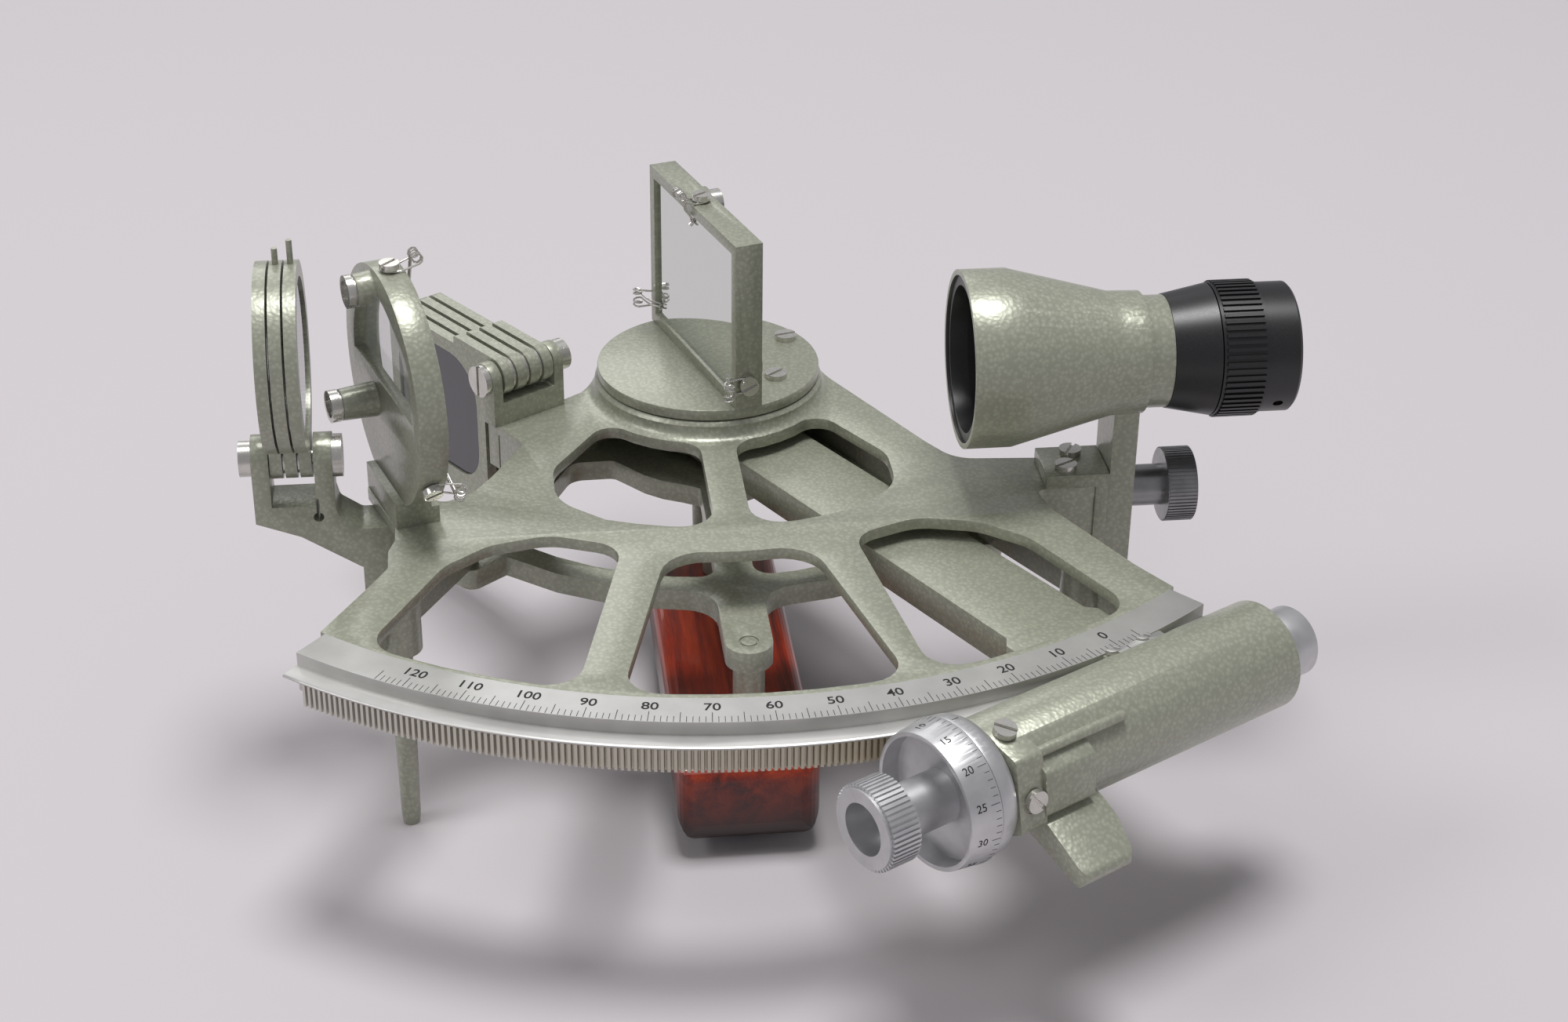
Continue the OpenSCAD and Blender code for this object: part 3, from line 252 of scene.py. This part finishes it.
def rubber_tip():
    """Dark moulded tip of a leg, matt with a fine grain."""
    made, tree, shader = start("moulded_rubber")
    place = add(tree, "ShaderNodeTexCoord").outputs["Object"]
    fine = add(tree, "ShaderNodeTexNoise", {"Vector": place, "Scale": 1000 / 0.4, "Detail": 2.0})
    link(tree, ramp(tree, fine.outputs["Fac"], [(0.3, "#2b2521"), (0.7, "#3b332d")]), shader, "Base Color")
    shader.inputs["Roughness"].default_value = 0.8
    return made


def plate_glass(name, code, alpha):
    """Ground and polished glass: a smooth skin over an even tint, clear as far as alpha lets through."""
    made, tree, shader = start(name)
    shader.inputs["Base Color"].default_value = srgb(code)
    shader.inputs["Roughness"].default_value = 0.02
    shader.inputs["Alpha"].default_value = alpha
    shader.inputs["IOR"].default_value = 1.52
    shader.inputs["Coat Weight"].default_value = 1.0
    shader.inputs["Coat Roughness"].default_value = 0.01
    return made


def silvered_glass():
    """Back-silvered mirror glass: bright, with the faintest green of the plate."""
    made, tree, shader = start("silvered_glass")
    shader.inputs["Base Color"].default_value = srgb("#dfe2de")
    shader.inputs["Metallic"].default_value = 1.0
    shader.inputs["Roughness"].default_value = 0.03
    return made


def engraving_wax():
    """Black wax rubbed into engraved lines, matt."""
    made, tree, shader = start("engraving_wax")
    shader.inputs["Base Color"].default_value = srgb("#1c1b1a")
    shader.inputs["Roughness"].default_value = 0.7
    return made


ENAMEL = hammertone_enamel()
LIMB_ALLOY = satin_alloy()
BRIGHT_ALLOY = turned_metal("turned_alloy", "#d4d4d5", "#c6c6c8", 0.38, 0.8)
NICKEL = turned_metal("nickel_plate", "#dddbd6", "#cbc8c2", 0.26, 0.85)
STEEL = turned_metal("ground_steel", "#b9b9b8", "#9e9e9d", 0.3)
BRONZE = turned_metal("bearing_bronze", "#b99a55", "#a58444", 0.35)
BLACK = black_anodising()
WOOD = varnished_hardwood()
RUBBER = rubber_tip()
MIRROR = silvered_glass()
CLEAR = plate_glass("clear_glass", "#dfe6e4", 0.25)
LENS = plate_glass("coated_lens", "#6a6f80", 0.45)
DARK_SHADE = plate_glass("dark_grey_glass", "#2b2a36", 0.86)
MID_SHADE = plate_glass("grey_glass", "#4a4854", 0.72)
RACK = cut_teeth()
COLLAR = turned_metal("grey_collar", "#a5a5a6", "#909093", 0.3, 0.9)
KNURL = turned_metal("dark_knurl", "#a2a2a3", "#8c8c8e", 0.34, 0.8)
WAX = engraving_wax()

FINISH = {
    "enamel": ENAMEL, "limb_metal": LIMB_ALLOY, "nickel": NICKEL, "steel": STEEL, "bush_brass": BRONZE,
    "varnished_wood": WOOD, "tip_rubber": RUBBER, "silvered_glass": MIRROR, "clear_glass": CLEAR,
    "shade_glass_dark": DARK_SHADE, "shade_glass_light": MID_SHADE, "black_anodised": BLACK,
}
SLOT_OF = {part["node"]: part["material_slot"] for part in frame["record"]["subparts"]}
OWN_FINISH = {
    "vernier_ring": BRIGHT_ALLOY, "worm_end_cap": BRIGHT_ALLOY, "micrometer_drum": BRIGHT_ALLOY,
    "drum_knob": BRIGHT_ALLOY, "telescope_thumbscrew": KNURL, "objective_lens": LENS, "eye_lens": LENS,
}


def finish_of(node):
    """The node's own finish, or that of its slot."""
    return OWN_FINISH.get(node) or FINISH[SLOT_OF[node]]


def paint(obj, material):
    """Gives the whole object one material."""
    obj.data.materials.clear()
    obj.data.materials.append(material)
    for face in obj.data.polygons:
        face.material_index = 0


def paint_where(obj, material, inside):
    """Gives one more material to the faces that pass the test of their middle and their direction."""
    obj.data.materials.append(material)
    place = len(obj.data.materials) - 1
    for face in obj.data.polygons:
        if inside(face.center - PIVOT, face.normal):
            face.material_index = place


def activate(obj):
    """Makes one object the selected and active one."""
    bpy.ops.object.select_all(action="DESELECT")
    obj.select_set(True)
    bpy.context.view_layer.objects.active = obj


def smooth(obj, angle=35.0):
    """Even shading over round faces, with edges sharper than the angle kept. Normals that came with
    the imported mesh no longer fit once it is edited, so they go."""
    activate(obj)
    if obj.data.has_custom_normals:
        bpy.ops.mesh.customdata_custom_splitnormals_clear()
    bpy.ops.object.shade_smooth_by_angle(angle=math.radians(angle))


def body_of(node):
    """The body that carries a node."""
    return next(b for b, ns in frame["record"]["behaviour"]["bodies"].items() if node in ns)


def go_with(piece, node):
    """The piece rides the node's body."""
    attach(piece, body_of(node))


def stand_for(piece, node):
    """The piece takes the node's place and body."""
    go_with(piece, node)
    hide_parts(node)


def copy_of(node, name):
    """A closed copy of a node's solid, with its doubled corners merged and flat faces joined."""
    made = bpy.data.objects.new(name, NODES[node].data.copy())
    bpy.context.scene.collection.objects.link(made)
    activate(made)
    bpy.ops.object.mode_set(mode="EDIT")
    bpy.ops.mesh.select_all(action="SELECT")
    bpy.ops.mesh.remove_doubles(threshold=2e-6)
    bpy.ops.mesh.dissolve_limited(angle_limit=math.radians(0.6))
    bpy.ops.object.mode_set(mode="OBJECT")
    return made


def round_edges(obj, width, segments):
    """Rounds the sharp edges."""
    cut = obj.modifiers.new("round_edges", "BEVEL")
    cut.width = width * MM
    cut.segments = segments
    cut.limit_method = "ANGLE"
    cut.angle_limit = math.radians(38.0)
    cut.use_clamp_overlap = True
    activate(obj)
    bpy.ops.object.modifier_apply(modifier=cut.name)


def softened(node, width, segments=2):
    """The node's solid with its sharp edges rounded, as a casting's or a turned part's are."""
    made = copy_of(node, node + "_rounded")
    round_edges(made, width, segments)
    paint(made, finish_of(node))
    smooth(made)
    stand_for(made, node)
    return made


for name, obj in NODES.items():
    paint(obj, finish_of(name))
    smooth(obj, 30.0)

# Radius of each rounded piece's edges
EDGES = {
    "frame": 0.9, "handle_bridge": 0.8, "index_arm": 0.8, "telescope_bracket": 0.5,
    "horizon_mirror_frame": 0.5, "index_mirror_frame": 0.5, "horizon_shade_fork": 0.5,
    "index_shade_fork": 0.4, "mirror_base": 0.5, "telescope_body": 0.5, "worm_housing": 0.6,
    "vernier_ring": 0.15, "worm_end_cap": 0.3, "micrometer_drum": 0.15, "index_pointer": 0.15,
}
for node, width in EDGES.items():
    softened(node, width)


def polar(radius, degrees, height):
    """A point at a radius from the pivot, degrees round from the limb's middle towards the right."""
    a = math.radians(degrees)
    return PIVOT + Vector((radius * math.sin(a), -radius * math.cos(a), height)) * MM


def joined(parts, name):
    """One object from several."""
    bpy.ops.object.select_all(action="DESELECT")
    for part in parts:
        part.select_set(True)
    bpy.context.view_layer.objects.active = parts[0]
    bpy.ops.object.join()
    made = bpy.context.view_layer.objects.active
    made.name = name
    made.data.name = name
    return made


def bar(x, y, z):
    """A plain bar of the given sides in millimetres, about the origin."""
    bpy.ops.mesh.primitive_cube_add(size=1)
    made = bpy.context.object
    made.scale = (x * MM, y * MM, z * MM)
    bpy.ops.object.transform_apply(location=True, rotation=True, scale=True)
    return made


def shifted(x, y, z):
    """A move in millimetres."""
    return Matrix.Translation((x * MM, y * MM, z * MM))


def turned(degrees, axis):
    """A turn about an axis through the origin."""
    return Matrix.Rotation(math.radians(degrees), 4, axis)


def copy_placed(obj, matrix):
    """A copy of an object, with the matrix worked into its mesh."""
    made = obj.copy()
    made.data = obj.data.copy()
    bpy.context.scene.collection.objects.link(made)
    made.data.transform(matrix)
    return made


def numeral(text, size, weight):
    """A flat number in the plain built-in face, centred on the origin, its strokes widened by weight."""
    bpy.ops.object.text_add()
    made = bpy.context.object
    made.data.body = text
    made.data.size = size * MM
    made.data.align_x = "CENTER"
    made.data.align_y = "CENTER"
    made.data.extrude = MARK_THICK / 2 * MM
    made.data.offset = weight * MM
    bpy.ops.object.convert(target="MESH")
    return bpy.context.object


def on_limb(radius, turn):
    """Place on the limb's face, upright for a reader at its outer edge."""
    return Matrix.Translation(polar(radius, turn, MARK_LIFT)) @ turned(turn, "Z")


def scale_piece(name, node, lines, parts):
    """Joins a scale's lines and numbers, once the lines they were copied from are gone."""
    for line in lines.values():
        bpy.data.objects.remove(line)
    scale = joined(parts, name)
    paint(scale, WAX)
    go_with(scale, node)


def limb_scale():
    """Lines from -5 to 125 along the limb's outer edge, half a true degree apart, each fifth longer,
    with a number inboard of each tenth."""
    short, long = 2.2, 3.8
    edge_gap = 0.2
    number_in = 6.1
    lines = {short: bar(0.14, short, MARK_THICK), long: bar(0.16, long, MARK_THICK)}
    parts = []
    for reading in range(-5, 126):
        length = long if reading % 5 == 0 else short
        place = on_limb(LIMB_R - edge_gap - length / 2, ARM_DEG - reading / 2)
        parts.append(copy_placed(lines[length], place))
    for reading in range(0, 121, 10):
        number = numeral(str(reading), 4.0, 0.05)
        number.data.transform(on_limb(LIMB_R - number_in, ARM_DEG - reading / 2))
        parts.append(number)
    scale_piece("limb_scale", "limb_rack", lines, parts)


limb_scale()

# The worm's own frame: x along its axis, away from the drum's knob, and z up
ALONG_WORM = Matrix.Translation(polar(WORM_R, ARM_DEG, WORM_Z)) @ turned(ARM_DEG, "Z")


def on_drum(along, step):
    """Place on the tapered drum at a line of its scale, its x along the axis."""
    slope = (DRUM_R1 - DRUM_R0) / (DRUM_S1 - DRUM_S0)
    radius = DRUM_R0 + slope * (along - DRUM_S0) + MARK_LIFT
    return (ALONG_WORM @ turned(DRUM_STEP_DEG * step + DRUM_ZERO_DEG, "X") @ shifted(along, 0, radius)
            @ Matrix.Rotation(-math.atan(slope), 4, "Y"))


def drum_scale():
    """Lines at the drum's back edge, each fifth longer and with its number."""
    short, long = 1.3, 2.2
    edge_gap = 0.4
    number_in = 4.9
    lines = {short: bar(short, 0.11, MARK_THICK), long: bar(long, 0.12, MARK_THICK)}
    parts = []
    for step in range(DRUM_LINES):
        length = long if step % 5 == 0 else short
        parts.append(copy_placed(lines[length], on_drum(DRUM_S1 - edge_gap - length / 2, step)))
        if step % 5 == 0:
            number = numeral(str(step), 2.6, 0.0)
            number.data.transform(on_drum(DRUM_S1 - number_in, step))
            parts.append(number)
    scale_piece("drum_scale", "micrometer_drum", lines, parts)


drum_scale()


def reading_mark(name, node, length, matrix):
    """One engraved line beside a scale."""
    made = bar(length, 0.18, MARK_THICK)
    made.name = name
    made.data.transform(matrix)
    paint(made, WAX)
    go_with(made, node)


# The line of the pointer over the limb's scale, and that of the ring beside the drum
reading_mark("pointer_mark", "index_pointer", 2.6,
             Matrix.Translation(polar(168.0, ARM_DEG, 1.31)) @ turned(ARM_DEG + 90, "Z"))
reading_mark("ring_mark", "vernier_ring", 2.4, ALONG_WORM @ turned(-9, "X") @ shifted(-58.8, 0, 16.63))


def housing_rib():
    """The straight rib with rounded crest and ends that runs from the collar along the worm's housing."""
    made = bar(RIB_LONG, RIB_WIDE, RIB_HIGH)
    made.name = "housing_rib"
    round_edges(made, RIB_ROUND, 4)
    made.data.transform(ALONG_WORM @ turned(90 - RIB_DEG, "X") @ shifted(RIB_MIDDLE, 0, RIB_R))
    paint(made, ENAMEL)
    smooth(made)
    go_with(made, "worm_housing")


def ribbed(node, centre, start_x, end_x, rim, depth, count, width):
    """The node's solid with the rim turned down by the ribs' depth, and straight ribs as high as
    the rim was. The frame called centre has its x along the rim's axis."""
    made = copy_of(node, node + "_ribbed")
    back = centre.inverted()
    margin = 1.0
    for vertex in made.data.vertices:
        spot = back @ vertex.co
        reach = math.hypot(spot.y, spot.z)
        on_rim = (start_x - margin) * MM < spot.x < (end_x + margin) * MM
        if on_rim and reach > (rim - 3 * depth) * MM:
            share = (reach - depth * MM) / reach
            vertex.co = centre @ Vector((spot.x, spot.y * share, spot.z * share))
    rib = bar(end_x - start_x, width, 2 * depth)
    parts = [made]
    for i in range(count):
        place = centre @ turned(360 * i / count, "X") @ shifted((start_x + end_x) / 2, 0, rim - depth)
        parts.append(copy_placed(rib, place))
    bpy.data.objects.remove(rib)
    for part in parts:
        paint(part, finish_of(node))
    made = joined(parts, node + "_ribbed")
    smooth(made)
    stand_for(made, node)
    return made


housing_rib()
ribbed("drum_knob", ALONG_WORM, -84.6, -77.4, 10.1, 0.45, 52, 0.62)
CLAMP_AXIS = Matrix.Translation(PIVOT + Vector((0, TEL_Y, SCREW_Z)) * MM)
clamp = ribbed("telescope_thumbscrew", CLAMP_AXIS, 113.0, 120.3, 9.7, 0.3, 60, 0.55)
paint_where(clamp, COLLAR, lambda c, n: c.x < COLLAR_X * MM)
limb = softened("limb_rack", 0.12, 1)
paint_where(limb, RACK, lambda c, n: c.z < RACK_TOP_Z * MM and c.xy.length > RACK_IN_R * MM)
paint_where(NODES["leg_tips"], ENAMEL, lambda c, n: n.z > -0.5)


def in_bore(middle, normal):
    """Whether a face of the telescope looks in towards its axis."""
    y, z = middle.y - TEL_Y * MM, middle.z - SIGHT_Z * MM
    looks_in = normal.y * y + normal.z * z < -0.5 * MM
    return looks_in and math.hypot(y, z) < BORE_R * MM and middle.x > BORE_X * MM


paint_where(bpy.data.objects["telescope_body_rounded"], BLACK, in_bore)


def backdrop_paper():
    """Matt, pale warm-grey backdrop paper, without a pattern."""
    made, tree, shader = start("pale_paper")
    shader.inputs["Base Color"].default_value = srgb("#c6c1c4")
    shader.inputs["Roughness"].default_value = 0.9
    shader.inputs["Specular IOR Level"].default_value = 0.1
    return made


# Floor, lights and camera
bpy.ops.mesh.primitive_plane_add(size=8, location=(0, 0, 0))
floor = bpy.context.object
floor.name = "floor"
paint(floor, backdrop_paper())

world = bpy.data.worlds.new("studio")
bpy.context.scene.world = world
world.use_nodes = True
world.node_tree.nodes.clear()
soft = add(world.node_tree, "ShaderNodeBackground", {"Color": srgb("#e4e4e8"), "Strength": 0.4})
add(world.node_tree, "ShaderNodeOutputWorld", {"Surface": soft.outputs["Background"]})


def lamp(name, place, size, power, target):
    """A round soft lamp, sizes in metres and power in watts, that looks at its target."""
    light = bpy.data.lights.new(name, "AREA")
    light.shape = "DISK"
    light.size = size
    light.energy = power
    obj = bpy.data.objects.new(name, light)
    bpy.context.scene.collection.objects.link(obj)
    obj.location = place
    obj.rotation_euler = (Vector(target) - Vector(place)).to_track_quat("-Z", "Y").to_euler()


lamp("overhead_light", (0.15, 0.1, 2.4), 0.9, 40.0, (0, 0, 0))
lamp("back_light", (-0.5, 1.9, 1.4), 1.3, 6.5, (0, 0, 0))
lamp("side_light", (-1.4, -0.3, 1.5), 0.8, 8.0, (0, 0, 0.05))

# The camera as worked out from the photograph: its place in millimetres from the pivot, and its turns
IMAGE_W = 2000
FOCAL_PX = 3395.0
SENSOR = 36.0
CAMERA_FROM_PIVOT = (-59.55, -651.21, 327.60)
LOOK_RIGHT_DEG = 7.084
LOOK_DOWN_DEG = 29.277
ROLL_DEG = 0.680

camera_data = bpy.data.cameras.new("camera")
camera_data.sensor_width = SENSOR
camera_data.sensor_fit = "HORIZONTAL"
camera_data.lens = SENSOR * FOCAL_PX / IMAGE_W
camera_data.clip_start = 0.01
camera = bpy.data.objects.new("camera", camera_data)
bpy.context.scene.collection.objects.link(camera)
turn_right = math.radians(LOOK_RIGHT_DEG)
down = math.radians(LOOK_DOWN_DEG)
ahead = Vector((math.sin(turn_right) * math.cos(down), math.cos(turn_right) * math.cos(down),
                -math.sin(down)))
camera.location = PIVOT + Vector(CAMERA_FROM_PIVOT) * MM
level = ahead.to_track_quat("-Z", "Y")
camera.rotation_mode = "QUATERNION"
camera.rotation_quaternion = level @ Matrix.Rotation(math.radians(ROLL_DEG), 4, "Z").to_quaternion()
bpy.context.scene.camera = camera
bpy.context.scene.view_settings.view_transform = "Standard"
